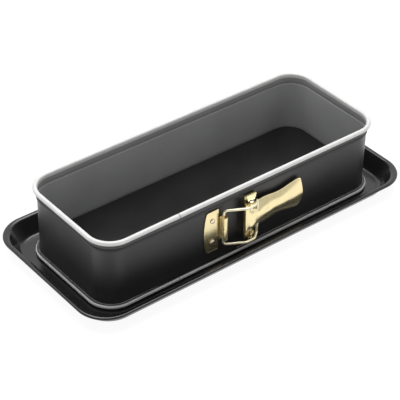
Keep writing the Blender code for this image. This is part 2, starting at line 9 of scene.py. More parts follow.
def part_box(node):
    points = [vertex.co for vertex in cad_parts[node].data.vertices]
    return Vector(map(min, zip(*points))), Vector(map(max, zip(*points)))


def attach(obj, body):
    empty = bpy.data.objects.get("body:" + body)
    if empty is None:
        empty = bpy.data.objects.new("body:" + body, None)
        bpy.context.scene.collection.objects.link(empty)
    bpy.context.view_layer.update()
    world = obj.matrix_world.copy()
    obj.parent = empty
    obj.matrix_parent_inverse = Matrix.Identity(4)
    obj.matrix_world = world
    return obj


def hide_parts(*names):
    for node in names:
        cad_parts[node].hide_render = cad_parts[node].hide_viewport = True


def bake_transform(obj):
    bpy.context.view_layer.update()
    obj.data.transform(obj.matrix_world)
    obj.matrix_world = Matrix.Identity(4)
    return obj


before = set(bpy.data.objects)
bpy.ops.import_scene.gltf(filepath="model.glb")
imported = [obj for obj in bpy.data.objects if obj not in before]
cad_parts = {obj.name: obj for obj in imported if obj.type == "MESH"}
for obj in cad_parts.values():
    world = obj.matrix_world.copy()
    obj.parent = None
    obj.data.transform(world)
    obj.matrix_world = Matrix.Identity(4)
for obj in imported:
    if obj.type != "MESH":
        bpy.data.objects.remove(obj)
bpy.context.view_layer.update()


# Camera. It stands where the photograph was taken: in front of the latch side, to the left and
# above, with a long lens. The place and the angles come from a fit to the pan's rim and lip.
camera_place = Vector((-0.6983, -0.8538, 0.8368))
camera_heading = math.radians(-38.997)
camera_dip = math.radians(36.60)
camera_roll = math.radians(1.053)
camera_data = bpy.data.cameras.new("view")
camera_data.lens = 138.0
camera_data.sensor_width = 36.0
camera_data.clip_end = 20.0
camera = bpy.data.objects.new("view", camera_data)
bpy.context.scene.collection.objects.link(camera)
turn = Matrix.Rotation(camera_heading, 4, "Z") @ Matrix.Rotation(math.pi / 2 - camera_dip, 4, "X")
turn = turn @ Matrix.Rotation(camera_roll, 4, "Z")
camera.matrix_world = Matrix.Translation(camera_place) @ turn
bpy.context.scene.camera = camera
bpy.context.scene.view_settings.view_transform = "Standard"


# Studio: a pale seamless floor, a white surround on the far side, a dim room behind the camera,
# one large soft box overhead and a pale panel at the front right. Nothing here belongs to the pan.
def add_node(tree, kind, **inputs):
    """Node of a kind, with its inputs set by name, or by number after an underscore.

    A value that is a socket is linked in place of being set.
    """
    made = tree.nodes.new(kind)
    for name, value in inputs.items():
        socket = made.inputs[int(name[1:]) if name[0] == "_" else name.replace("_", " ")]
        if isinstance(value, bpy.types.NodeSocket):
            tree.links.new(value, socket)
        else:
            socket.default_value = value
    return made


def math_node(tree, operation, first, second=0.0, third=0.0):
    """Result of one operation on up to three values or sockets."""
    made = add_node(tree, "ShaderNodeMath", _0=first, _1=second, _2=third)
    made.operation = operation
    return made.outputs[0]


def mix_colours(tree, fraction, first, second):
    """Mix of two colours, each a socket or red, green and blue."""
    made = add_node(tree, "ShaderNodeMix", _0=fraction)
    made.data_type = "RGBA"
    for number, value in ((6, first), (7, second)):
        if isinstance(value, bpy.types.NodeSocket):
            tree.links.new(value, made.inputs[number])
        else:
            made.inputs[number].default_value = (*value, 1)
    return made


def direction_share(tree, ray, toward):
    """Cosine between a ray's direction and another."""
    made = add_node(tree, "ShaderNodeVectorMath", _0=ray, _1=toward)
    made.operation = "DOT_PRODUCT"
    return made.outputs["Value"]


def ramp_node(tree, fraction, stops):
    """Grey ramp through (position, value) stops, eased between them."""
    made = add_node(tree, "ShaderNodeValToRGB", Fac=fraction)
    made.color_ramp.interpolation = "EASE"
    elements = made.color_ramp.elements
    while len(elements) < len(stops):
        elements.new(0.5)
    for element, (position, value) in zip(elements, stops):
        element.position = position
        element.color = (value, value, value, 1)
    return made.outputs["Color"]


room_diffuse = 0.55
paper_lit = 0.86
paper_seen_share = 0.14
paper_glow = 0.92
far_side = (0.63, 0.777, 0.0)
side_box = (0.52, -0.80, 0.30)
world = bpy.data.worlds.new("studio")
bpy.context.scene.world = world
world.use_nodes = True
room = world.node_tree
room.nodes.clear()
direction = add_node(room, "ShaderNodeTexCoord").outputs["Generated"]
unit = add_node(room, "ShaderNodeVectorMath", _0=direction)
unit.operation = "NORMALIZE"
height = add_node(room, "ShaderNodeSeparateXYZ", Vector=unit.outputs[0]).outputs["Z"]
toward_far = direction_share(room, unit.outputs[0], far_side)
surround = ramp_node(room, math_node(room, "MULTIPLY_ADD", toward_far, 0.5, 0.5),
                     [(0.0, 0.10), (0.42, 0.14), (0.62, 0.9), (1.0, 1.0)])
ceiling = ramp_node(room, height, [(0.0, 0.0), (0.62, 0.0), (0.84, 0.85), (1.0, 0.95)])
panel = ramp_node(room, direction_share(room, unit.outputs[0], side_box),
                  [(0.0, 0.0), (0.86, 0.0), (0.94, 0.55), (1.0, 0.6)])
above = mix_colours(room, 1.0, ceiling, panel)
seen_in_gloss = mix_colours(room, 1.0, surround, above.outputs[2])
for layer in (above, seen_in_gloss):
    layer.blend_type = "LIGHTEN"
rays = add_node(room, "ShaderNodeLightPath")
glossy_or_not = mix_colours(room, rays.outputs["Is Glossy Ray"], [room_diffuse] * 3, seen_in_gloss.outputs[2])
camera_or_not = mix_colours(room, rays.outputs["Is Camera Ray"], glossy_or_not.outputs[2], (1, 1, 1))
background = add_node(room, "ShaderNodeBackground", Color=camera_or_not.outputs[2], Strength=1.0)
room_output = add_node(room, "ShaderNodeOutputWorld")
room.links.new(background.outputs[0], room_output.inputs["Surface"])

floor_reach = 4.0
floor_mesh = bpy.data.meshes.new("studio_floor")
floor_mesh.from_pydata(
    [(x * floor_reach, y * floor_reach, 0) for x, y in ((-1, -1), (1, -1), (1, 1), (-1, 1))],
    [], [(0, 1, 2, 3)],
)
floor = bpy.data.objects.new("studio_floor", floor_mesh)
bpy.context.scene.collection.objects.link(floor)
paper = bpy.data.materials.new("studio_paper")
paper.use_nodes = True
paper_tree = paper.node_tree
paper_shader = paper_tree.nodes["Principled BSDF"]
paper_shader.inputs["Roughness"].default_value = 0.9
paper_shader.inputs["Specular IOR Level"].default_value = 0.1
paper_rays = add_node(paper_tree, "ShaderNodeLightPath")
paper_seen = math_node(paper_tree, "MAXIMUM", paper_rays.outputs["Is Camera Ray"],
                       paper_rays.outputs["Is Glossy Ray"])
paper_colour = mix_colours(paper_tree, paper_seen, [paper_lit] * 3, [paper_seen_share] * 3)
paper_tree.links.new(paper_colour.outputs[2], paper_shader.inputs["Base Color"])
paper_tree.links.new(math_node(paper_tree, "MULTIPLY", paper_seen, paper_glow),
                     paper_shader.inputs["Emission Strength"])
paper_shader.inputs["Emission Color"].default_value = (1, 1, 1, 1)
floor_mesh.materials.append(paper)


def soft_box(name, place, aim, width, height, watts):
    """Rectangular area lamp at a place, facing an aim point."""
    lamp = bpy.data.lights.new(name, "AREA")
    lamp.shape = "RECTANGLE"
    lamp.size = width
    lamp.size_y = height
    lamp.energy = watts
    made = bpy.data.objects.new(name, lamp)
    bpy.context.scene.collection.objects.link(made)
    facing = (Vector(aim) - Vector(place)).to_track_quat("-Z", "Y")
    made.matrix_world = Matrix.Translation(place) @ facing.to_matrix().to_4x4()
    return made


soft_box("overhead", place=(0.1, 0.3, 1.5), aim=(0, 0, 0), width=1.6, height=1.2, watts=22)


# Tray base. One pressing of steel sheet with a glossy black non-stick coat: the raised floor of
# the pan, a flat gutter round it, steep sides and a lip rolled over at its edge.
sheet_of_tray = 0.0008
tray_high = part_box("base_tray")[1]
platform_half_length = 0.1495
platform_half_width = 0.05525
platform_corner = 0.0195
platform_height = 0.0137
platform_edge = 0.0022
platform_foot = 0.0012
lip_corner = 0.029
lip_radius = 0.0015
lip_flange = 0.0025
side_run = 0.008
gutter_fillet = 0.004
brow_fillet = 0.003
profile_start = 0.010
lip_end_degrees = -160
overhang_length = tray_high.x - platform_half_length
overhang_width = tray_high.y - platform_half_width


def circle_points(centre, radius, start, end, steps):
    """Points on a circle from one angle to another, in degrees."""
    angles = np.radians(np.linspace(start, end, steps + 1))
    return np.stack([centre[0] + radius * np.cos(angles), centre[1] + radius * np.sin(angles)], axis=1)


def filleted(corners, radii, steps=8):
    """Polyline with each inner corner replaced by an arc of its radius that touches both its sides."""
    corners = np.array(corners, dtype=float)
    path = [corners[:1]]
    for before, here, after, radius in zip(corners[:-2], corners[1:-1], corners[2:], radii):
        back = (before - here) / np.linalg.norm(before - here)
        ahead = (after - here) / np.linalg.norm(after - here)
        half = math.acos(np.clip(back @ ahead, -1, 1)) / 2
        middle = here + (back + ahead) / np.linalg.norm(back + ahead) * radius / math.sin(half)
        first = here + back * radius / math.tan(half) - middle
        last = here + ahead * radius / math.tan(half) - middle
        sweep = math.pi - 2 * half
        share = np.linspace(0, 1, steps + 1)[:, None]
        path.append(middle + (first * np.sin((1 - share) * sweep) + last * np.sin(share * sweep))
                    / math.sin(sweep))
    path.append(corners[-1:])
    return np.vstack(path)


def two_faces(path, thickness):
    """Both faces of a bent sheet: its middle line moved half a thickness along its mitred normals."""
    ahead = np.diff(path, axis=0)
    ahead /= np.linalg.norm(ahead, axis=1)[:, None]
    side = np.stack([-ahead[:, 1], ahead[:, 0]], axis=1)
    nearest = np.vstack([side, side[-1:]])
    mitre = nearest + np.vstack([side[:1], side])
    mitre /= np.linalg.norm(mitre, axis=1)[:, None]
    reach = thickness / 2 / np.sum(mitre * nearest, axis=1)
    return path + mitre * reach[:, None], path - mitre * reach[:, None]


def shell(name, first, second, present=None, ring=False, capped=False, slots=None):
    """Closed mesh of a sheet from two grids of places, one for each face, [row, column, xyz].

    present says which cells the sheet fills. Where a filled cell borders an empty one, a rim
    face joins the two faces. A ring joins its last row to its first, and capped closes the
    first column with a flat face on each side. slots gives each column's material, or one
    such row for each of the two faces.
    """
    rows, columns = first.shape[:2]
    bands = rows if ring else rows - 1
    if present is None:
        present = np.ones((bands, columns - 1), dtype=bool)
    number = np.arange(2 * rows * columns).reshape(2, rows, columns)
    if ring:
        number = np.concatenate([number, number[:, :1]], axis=1)
    if slots is None:
        slots = np.zeros(columns - 1, dtype=int)
    slots = np.broadcast_to(slots, (2, columns - 1))
    slot_grids = [np.broadcast_to(face_slots, present.shape) for face_slots in slots]
    corner = [number[:, :-1, :-1], number[:, :-1, 1:], number[:, 1:, 1:], number[:, 1:, :-1]]
    corner = [c[:, :bands] for c in corner]
    quads = [np.stack([c[0] for c in corner], axis=-1)[present],
             np.stack([c[1] for c in corner[::-1]], axis=-1)[present]]
    kinds = [slot_grids[0][present], slot_grids[1][present]]
    padded = np.pad(present, 1)
    if ring:
        padded[0, 1:-1] = present[-1]
        padded[-1, 1:-1] = present[0]
    if capped:
        padded[1:-1, 0] = True
    beside = [padded[:-2, 1:-1], padded[1:-1, 2:], padded[2:, 1:-1], padded[1:-1, :-2]]
    for index, neighbour in enumerate(beside):
        edge = present & ~neighbour
        start, end = corner[index], corner[(index + 1) % 4]
        quads.append(np.stack([end[0], start[0], start[1], end[1]], axis=-1)[edge])
        kinds.append(slot_grids[0][edge])
    faces = [tuple(quad) for quad in np.vstack(quads).tolist()]
    kinds = np.concatenate(kinds).tolist()
    if capped:
        faces += [tuple(number[0, :rows, 0].tolist()), tuple(number[1, :rows, 0][::-1].tolist())]
        kinds += [int(slots[0][0]), int(slots[1][0])]
    used = np.unique(np.concatenate([np.array(face) for face in faces]))
    fresh = np.full(2 * rows * columns, -1)
    fresh[used] = np.arange(len(used))
    places = np.concatenate([first.reshape(-1, 3), second.reshape(-1, 3)])[used]
    return finished_mesh(name, places, [tuple(fresh[list(face)].tolist()) for face in faces], kinds)


def finished_mesh(name, places, faces, kinds=None, sharp=32):
    """Object at the origin with smooth faces and edges sharp past an angle.

    The sum of area times centre dotted with normal is three times the volume. Where it is
    negative, the faces are turned to point outwards.
    """
    mesh = bpy.data.meshes.new(name)
    mesh.from_pydata(places.tolist(), [], faces)
    if kinds is not None:
        mesh.polygons.foreach_set("material_index", np.array(kinds, dtype=np.int32))
    measures = {measure: np.empty(width * len(faces), dtype=np.float32)
                for measure, width in (("area", 1), ("center", 3), ("normal", 3))}
    for measure, values in measures.items():
        mesh.polygons.foreach_get(measure, values)
    facing = np.sum((measures["center"] * measures["normal"]).reshape(-1, 3), axis=1)
    if measures["area"] @ facing < 0:
        mesh.flip_normals()
    mesh.shade_smooth()
    mesh.set_sharp_from_angle(angle=math.radians(sharp))
    mesh.update()
    made = bpy.data.objects.new(name, mesh)
    bpy.context.scene.collection.objects.link(made)
    return made


def rounded_plan(half_length, half_width, corner, steps=20):
    """Rounded rectangle seen from above: its four corner arcs, anticlockwise."""
    stretches = []
    for start, sign_x, sign_y in ((0, 1, 1), (90, -1, 1), (180, -1, -1), (270, 1, -1)):
        centre = (sign_x * (half_length - corner), sign_y * (half_width - corner))
        stretches.append(circle_points(centre, corner, start, start + 90, steps))
    return np.vstack(stretches)


def tray_shell():
    """Tray as one profile carried round a rounded rectangle whose corner grows towards the lip."""
    half = sheet_of_tray / 2
    top = tray_high.z
    lip_out = overhang_length - lip_radius
    lip = circle_points((lip_out, top - lip_radius), lip_radius - half, 90, lip_end_degrees, 16)
    brow = lip_out - lip_flange
    corners = [
        (-profile_start, platform_height - half), (-half, platform_height - half), (-half, half),
        (brow - side_run, half), (brow, top - half), tuple(lip[0]),
    ]
    radii = [platform_edge, platform_foot, gutter_fillet, brow_fillet]
    path = np.vstack([filleted(corners, radii)[:-1], lip])
    grids = []
    for face in two_faces(path, sheet_of_tray):
        rings = []
        for out, height in face:
            share = out / overhang_length
            plan = rounded_plan(platform_half_length + out, platform_half_width + share * overhang_width,
                                platform_corner + share * (lip_corner - platform_corner))
            rings.append(np.column_stack([plan, np.full(len(plan), height)]))
        grids.append(np.array(rings).transpose(1, 0, 2))
    return shell("tray", grids[0], grids[1], ring=True, capped=True)


pore_fineness = 4.0
pore_share = 0.35


def coat_grain():
    """Shader group of a sprayed non-stick coat: fine orange peel, pores and slow cloudy patches."""
    group = bpy.data.node_groups.new("coat_grain", "ShaderNodeTree")
    group.interface.new_socket("Peel Size", in_out="INPUT", socket_type="NodeSocketFloat")
    group.interface.new_socket("Cloud Size", in_out="INPUT", socket_type="NodeSocketFloat")
    group.interface.new_socket("Height", in_out="OUTPUT", socket_type="NodeSocketFloat")
    group.interface.new_socket("Cloud", in_out="OUTPUT", socket_type="NodeSocketFloat")
    entry = add_node(group, "NodeGroupInput")
    place = add_node(group, "ShaderNodeTexCoord").outputs["Object"]
    peel = add_node(group, "ShaderNodeTexNoise", Vector=place, Detail=2.0, Roughness=0.5,
                    Scale=math_node(group, "DIVIDE", 1.0, entry.outputs["Peel Size"]))
    pores = add_node(group, "ShaderNodeTexNoise", Vector=place, Detail=0.0,
                     Scale=math_node(group, "DIVIDE", pore_fineness, entry.outputs["Peel Size"]))
    cloud = add_node(group, "ShaderNodeTexNoise", Vector=place, Detail=3.0, Roughness=0.55,
                     Scale=math_node(group, "DIVIDE", 1.0, entry.outputs["Cloud Size"]))
    exit_node = add_node(group, "NodeGroupOutput")
    mixed = math_node(group, "MULTIPLY_ADD", pores.outputs["Fac"], pore_share, peel.outputs["Fac"])
    group.links.new(mixed, exit_node.inputs["Height"])
    spread = add_node(group, "ShaderNodeMapRange", Value=cloud.outputs["Fac"], From_Min=0.3, From_Max=0.7)
    group.links.new(spread.outputs["Result"], exit_node.inputs["Cloud"])
    return group


grain_group = coat_grain()
coat_cloud = 0.045
relief_height = 0.0001


def relief_node(tree, height, strength, **inputs):
    """Normal bent by a height, which counts as so many metres at strength one."""
    made = add_node(tree, "ShaderNodeBump", Height=height, Strength=strength, Distance=relief_height,
                    **inputs)
    return made.outputs["Normal"]


def coating(name, dark, light, roughness, swing, reflectance, peel, bump, cloud=coat_cloud):
    """Sprayed coat or metal skin: colour and roughness drift slowly, and a fine peel breaks up its shine."""
    made = bpy.data.materials.new(name)
    made.use_nodes = True
    tree = made.node_tree
    shader = tree.nodes["Principled BSDF"]
    grain = tree.nodes.new("ShaderNodeGroup")
    grain.node_tree = grain_group
    grain.inputs["Peel Size"].default_value = peel
    grain.inputs["Cloud Size"].default_value = cloud
    colour = mix_colours(tree, grain.outputs["Cloud"], dark, light)
    tree.links.new(colour.outputs[2], shader.inputs["Base Color"])
    drift = math_node(tree, "MULTIPLY_ADD", grain.outputs["Cloud"], swing, roughness)
    tree.links.new(drift, shader.inputs["Roughness"])
    shader.inputs["Specular IOR Level"].default_value = reflectance
    tree.links.new(relief_node(tree, grain.outputs["Height"], bump), shader.inputs["Normal"])
    return made


tray = tray_shell()
tray.data.materials.append(
    coating("black_gloss_coat", (0.005, 0.005, 0.0053), (0.009, 0.009, 0.0093),
            roughness=0.16, swing=0.06, reflectance=0.72, peel=0.0012, bump=0.10)
)
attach(tray, "base")
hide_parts("base_tray")


# Side band. One strip of coated sheet bent round the pan's loaf shape, with its top and foot edges
# rolled outward into bare bright beads and a ridge pressed out below the top one.
band_sheet = 0.0007
band_half_length = 0.150
band_half_width = 0.05575
band_corner = 0.020
bead_radius = 0.0021
foot_bead_radius = 0.0020
foot_flare = 0.0005
foot_flare_height = 0.0080
coated_foot_strips = 4
ridge_drop = 0.0083
ridge_half_width = 0.0015
ridge_depth = 0.0009
bead_margin = 0.0010
bead_undercut = 0.0005
seam_x = -0.076
seam_gap = 0.0003
bead_seam = 0.0008
tongue_end_x = -0.012
jog_start_x = -0.128
ridge_fade = 0.006
join_reach = 0.026
bead_end_degrees = -110
tongue_lift = band_sheet + seam_gap
band_low, band_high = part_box("band_main")
rim_bead_z = band_high.z - bead_radius
foot_bead_z = band_low.z + foot_bead_radius
latch_rise = 0.0008
latch_z = (band_low.z + band_high.z) / 2 + latch_rise


def band_section(ridge):
    """Middle line of the band's sheet, (outward, height), from the foot's curl to the rim's curl.

    Returns it with the first and last index of the wall between the two beads. The ridge is a
    raised cosine of its depth, and the wall flares out above the foot along another.
    """
    middle = band_sheet / 2
    rim = circle_points((bead_radius, rim_bead_z), bead_radius - middle, 180, bead_end_degrees, 22)
    rim = np.vstack([[(middle, rim_bead_z - bead_radius)], rim])
    foot = circle_points((foot_flare + foot_bead_radius, foot_bead_z), foot_bead_radius - middle,
                         bead_end_degrees, 180, 22)
    foot[:, 1] = 2 * foot_bead_z - foot[:, 1]
    foot = np.vstack([foot, [(foot_flare + middle, foot_bead_z + foot_bead_radius)]])
    ridge_z = rim_bead_z - ridge_drop
    share = np.linspace(-1, 1, 13)
    swell = np.column_stack([middle + ridge * ridge_depth * (1 + np.cos(math.pi * share)) / 2,
                             ridge_z + share * ridge_half_width])
    wall_low = foot_bead_z + foot_bead_radius + bead_undercut
    wall_high = rim_bead_z - bead_radius - bead_undercut
    rise = np.linspace(0, 1, 9)
    flare = np.column_stack([middle + foot_flare * (1 + np.cos(math.pi * rise)) / 2,
                             wall_low + rise * foot_flare_height])
    wall = np.vstack([
        flare,
        swell,
        [(middle, wall_high - bead_margin), (middle, wall_high)],
    ])
    return np.vstack([foot, wall, rim]), len(foot), len(foot) + len(wall) - 1


def band_faces(stations):
    """Both faces of the band at stations of (x, y, outward x, outward y, ridge, lift)."""
    grids = [[], []]
    for x, y, out_x, out_y, ridge, lift in stations:
        path, first, last = band_section(ridge)
        path[first:last + 1, 0] += lift
        for grid, face in zip(grids, two_faces(path, band_sheet)):
            grid.append(np.column_stack([x + out_x * face[:, 0], y + out_y * face[:, 0], face[:, 1]]))
    return np.array(grids[0]), np.array(grids[1]), first, last


def band_corner_stations(sign_x, sign_y, start, steps=20):
    """Stations round one corner's quarter circle, from a start angle in degrees."""
    centre = (sign_x * (band_half_length - band_corner), sign_y * (band_half_width - band_corner))
    angles = np.radians(np.linspace(start, start + 90, steps + 1))
    return [(centre[0] + band_corner * math.cos(a), centre[1] + band_corner * math.sin(a),
             math.cos(a), math.sin(a), 1, 0) for a in angles]


def front_station(x, ridge=1.0, lift=0.0):
    """Station on the side with the latch."""
    return (x, -band_half_width, 0, -1, ridge, lift)


def bead_slots(columns, first, last):
    """Material of each strip on the inner and the outer face: coat on the wall, bare metal on the curls.

    The coat runs on over the top of the foot's curl.
    """
    strip = np.arange(columns - 1)
    curled = (strip < first - 1) | (strip > last)
    bare = curled & (strip >= coated_foot_strips)
    wall_slots = np.array([[2], [0]])
    return np.where(bare, 1, np.where(strip < coated_foot_strips, 0, wall_slots))


hinge_x = -(band_half_length - band_corner)
join_x = hinge_x + join_reach
main_stations = [front_station(seam_x + bead_seam / 2, 0), front_station(tongue_end_x + seam_gap, 0)]
main_stations += [front_station(tongue_end_x + seam_gap + ridge_fade * s, (1 - math.cos(math.pi * s)) / 2)
                  for s in (0.25, 0.5, 0.75, 1.0)]
main_stations += band_corner_stations(1, -1, 270) + band_corner_stations(1, 1, 0)
main_stations += [(join_x, band_half_width, 0, 1, 1, 0)]
inner, outer, wall_first, wall_last = band_faces(main_stations)
band_main = shell("band_main_sheet", inner, outer, slots=bead_slots(inner.shape[1], wall_first, wall_last))

arm_stations = [(join_x, band_half_width, 0, 1, 1, 0)]
arm_stations += [(join_x + (hinge_x - join_x) * s, band_half_width, 0, 1, 1, 0)
                 for s in np.linspace(0, 1, 9)[1:-1]]
arm_stations += band_corner_stations(-1, 1, 90) + band_corner_stations(-1, -1, 180)
jog_end_x = seam_x - bead_seam / 2
for s in np.linspace(0, 1, 25):
    arm_stations.append(front_station(jog_start_x + s * (jog_end_x - jog_start_x), 1,
                                      tongue_lift * s ** 3 * (10 - 15 * s + 6 * s ** 2)))
beaded = len(arm_stations) - 1
arm_stations.append(front_station(tongue_end_x, 1, tongue_lift))
inner, outer, wall_first, wall_last = band_faces(arm_stations)
arm_present = np.ones((len(arm_stations) - 1, inner.shape[1] - 1), dtype=bool)
arm_present[beaded:, :wall_first] = False
arm_present[beaded:, wall_last:] = False
band_arm = shell("band_arm_sheet", inner, outer, present=arm_present,
                 slots=bead_slots(inner.shape[1], wall_first, wall_last))


metal_peel = 0.0009
metal_cloud = 0.012
stain_share = 0.90


def bare_metal(name, colour, roughness, swing, bump, metallic, reflectance=0.5):
    """Tinned or plated metal: slow stains, small changes of gloss and a faint grain.

    The less metallic it is, the duller is its skin.
    """
    made = coating(name, [stain_share * c for c in colour], colour, roughness, swing, reflectance,
                   peel=metal_peel, bump=bump, cloud=metal_cloud)
    made.node_tree.nodes["Principled BSDF"].inputs["Metallic"].default_value = metallic
    return made


band_coat = coating("grey_satin_coat", (0.020, 0.020, 0.021), (0.026, 0.026, 0.027),
                    roughness=0.36, swing=0.06, reflectance=0.7, peel=0.0009, bump=0.12)
bead_metal = bare_metal("bare_rolled_edge", (0.76, 0.76, 0.75),
                        roughness=0.45, swing=0.08, bump=0.04, metallic=0.14, reflectance=0.15)
inner_coat = coating("pale_grey_satin_coat", (0.287, 0.289, 0.290), (0.327, 0.329, 0.330),
                     roughness=0.33, swing=0.08, reflectance=0.6, peel=0.0009, bump=0.10)
for piece in (band_main, band_arm):
    piece.data.materials.append(band_coat)
    piece.data.materials.append(bead_metal)
    piece.data.materials.append(inner_coat)
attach(band_main, "band")
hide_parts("band_main")
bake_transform(band_arm)
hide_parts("band_arm")


# Keeper. Plate of brass-plated steel on the free end of the band. Its left edge is arched, and a
# narrower tab at its right edge is curled over into the hook that the bail's wire lies in.
plate_sheet = 0.0010
keeper_left_x = -0.0465
keeper_right_x = -0.0340
keeper_bulge = 0.0029
keeper_half_height = 0.0212
keeper_corner = 0.0016
hook_half_height = 0.0121
hook_bend_x = -0.02895
hook_end_x = -0.0316
hook_room = 0.0042
keeper_rounding = 0.00022
wire_radius = 0.0012
front_face = band_half_width + band_sheet
keeper_middle = tongue_lift + seam_gap + plate_sheet / 2
hook_wire_x = -0.0294
hook_wire = (hook_wire_x, tongue_lift + 2 * seam_gap + plate_sheet + wire_radius)


def in_front(x, standoff, height):
    """Places from x, the standoff from the band's outer face and the height over the latch's middle."""
    x, standoff, height = np.broadcast_arrays(x, standoff, height)
    return np.stack([x, -front_face - standoff, latch_z + height], axis=-1)


def thick_sheet(grid, thickness):
    """Both faces of a sheet: the grid moved half a thickness either way along its normals."""
    normal = np.cross(np.gradient(grid, axis=0), np.gradient(grid, axis=1))
    normal /= np.linalg.norm(normal, axis=-1, keepdims=True)
    return grid + normal * thickness / 2, grid - normal * thickness / 2


def eased_edges(piece, width, angle=40):
    """Small rounding on the sharp edges of a piece."""
    step = piece.modifiers.new("eased_edges", "BEVEL")
    step.width = width
    step.segments = 2
    step.limit_method = "ANGLE"
    step.angle_limit = math.radians(angle)
    step.harden_normals = True


def keeper_sheet():
    """Keeper: rows of equal height over one bent section.

    The left edge lies at the bulge times one less the square of the height's share, further
    left, and its two corners are quarter circles.
    """
    hook_radius = (hook_room + plate_sheet) / 2
    curl = circle_points((hook_bend_x, keeper_middle + hook_radius), hook_radius, -90, 90, 16)
    tab = [(x, keeper_middle) for x in np.linspace(keeper_right_x, hook_bend_x, 8)[1:-1]]
    lip = [(x, keeper_middle + 2 * hook_radius) for x in np.linspace(hook_bend_x, hook_end_x, 5)[1:]]
    section = np.vstack([tab, curl, lip])
    edge_share = hook_half_height / keeper_half_height
    share = np.concatenate([
        -1 + (1 - edge_share) * (1 - np.cos(np.linspace(0, math.pi / 2, 12))),
        np.linspace(-edge_share, edge_share, 14)[1:-1],
        1 - (1 - edge_share) * (1 - np.cos(np.linspace(math.pi / 2, 0, 12))),
    ])
    near_end = np.clip((np.abs(share) * keeper_half_height - keeper_half_height) / keeper_corner + 1, 0, 1)
    left = keeper_left_x - keeper_bulge * (1 - share ** 2)
    left = left + keeper_corner * (1 - np.sqrt(1 - near_end ** 2))
    plate_x = left[:, None] + (keeper_right_x - left[:, None]) * np.linspace(0, 1, 9)
    x = np.hstack([plate_x, np.tile(section[:, 0], (len(share), 1))])
    standoff = np.hstack([np.full(plate_x.shape, keeper_middle), np.tile(section[:, 1], (len(share), 1))])
    faces = thick_sheet(in_front(x, standoff, share[:, None] * keeper_half_height), plate_sheet)
    present = np.ones((len(share) - 1, x.shape[1] - 1), dtype=bool)
    middle_of_row = np.abs(share[:-1] + share[1:]) / 2
    present[middle_of_row > edge_share, plate_x.shape[1] - 1:] = False
    return shell("keeper_sheet", faces[0], faces[1], present=present)


hairline_scale = 2600.0


def plated_brass(name, colour, roughness, along=(0.05, 1.0, 1.0), bump=0.05, metallic=0.92):
    """Brass plating: hairlines drawn along the sheet, slow stains and a soft change of gloss."""
    made = bare_metal(name, colour, roughness, swing=0.06, bump=0.015, metallic=metallic)
    tree = made.node_tree
    shader = tree.nodes["Principled BSDF"]
    place = add_node(tree, "ShaderNodeTexCoord").outputs["Object"]
    drawn = add_node(tree, "ShaderNodeMapping", Vector=place, Scale=along)
    lines = add_node(tree, "ShaderNodeTexNoise", Vector=drawn.outputs[0], Scale=hairline_scale, Detail=2.0)
    grain = shader.inputs["Normal"].links[0].from_socket
    tree.links.new(relief_node(tree, lines.outputs["Fac"], bump, Normal=grain), shader.inputs["Normal"])
    return made


brass_colour = (1.0, 0.86, 0.50)
sheet_brass = plated_brass("plated_brass_sheet", brass_colour, 0.17, bump=0.10)
keeper = keeper_sheet()
eased_edges(keeper, keeper_rounding)
keeper.data.materials.append(sheet_brass)
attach(keeper, "arm")
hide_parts("keeper_plate")


# Bracket. Plate under the lever with an ear turned out above and below. Each ear narrows to the
# round end that holds the lever's pin.
pivot = (-0.0035, 0.0092)
bracket_left_x = -0.0044
bracket_right_x = 0.0066
bracket_half_height = 0.0192
bracket_bend = 0.0009
ear_end_radius = 0.0026
ear_shoulder = 0.0036
ear_lean_share = 0.48
ear_seat = 0.0019
ear_tip_share = 0.04
bracket_rounding = 0.0002
pin_radius = 0.0014


def bracket_sheet():
    """Bracket: a U-shaped path, and for each place on it the left and the right edge of the sheet.

    The ears lean together from their bends to the flat seats of the pin's heads. Round the pin
    the edges are a half circle, and from there to the shoulder they are straight.
    """
    middle = seam_gap + plate_sheet / 2
    rise = bracket_half_height - plate_sheet / 2
    turn = np.linspace(math.pi / 2, 0, 12)
    ear = np.concatenate([pivot[1] + ear_end_radius * np.sin(turn),
                          np.linspace(pivot[1], ear_shoulder, 6)[1:]])
    bend = circle_points((middle + bracket_bend, rise - bracket_bend), bracket_bend, 90, 180, 6)
    upper = np.vstack([np.column_stack([ear, np.full(len(ear), rise)]), bend])
    lean_reach = pivot[1] - ear_seat - middle - bracket_bend
    upper[:, 1] += ear_lean_share * np.clip(pivot[1] - ear_seat - upper[:, 0], 0, lean_reach)
    path = np.vstack([upper, [(middle, 0)], upper[::-1] * (1, -1)])
    standoff = path[:, 0]
    past_pin = np.clip((standoff - pivot[1]) / ear_end_radius, 0, 1)
    half_end = ear_end_radius * np.sqrt(np.clip(1 - past_pin ** 2, ear_tip_share, 1))
    widening = np.clip((pivot[1] - standoff) / (pivot[1] - ear_shoulder), 0, 1)
    edges = []
    for side, foot in ((-1, bracket_left_x), (1, bracket_right_x)):
        end = pivot[0] + side * half_end
        edges.append(np.where(widening > 0, end + widening * (foot - end), end))
    x = np.linspace(edges[0], edges[1], 5).T
    faces = thick_sheet(in_front(x, standoff[:, None], path[:, 1:]), plate_sheet)
    return shell("bracket_sheet", faces[0], faces[1])


bracket = bracket_sheet()
eased_edges(bracket, bracket_rounding)
bracket.data.materials.append(sheet_brass)
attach(bracket, "band")
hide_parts("latch_bracket")


# Pin and rivets. Turned brass: the pin is headed over at both ears, and each of the four rivets is
# closed with a low domed head.
pin_head_radius = 0.0021
pin_head_height = 0.0008
rivet_head_radius = 0.0023
rivet_head_height = 0.0009
rivet_shank_radius = 0.0012
rivet_tail = 0.0001
dome_turn_share = 0.94
dome_rim_share = 0.25


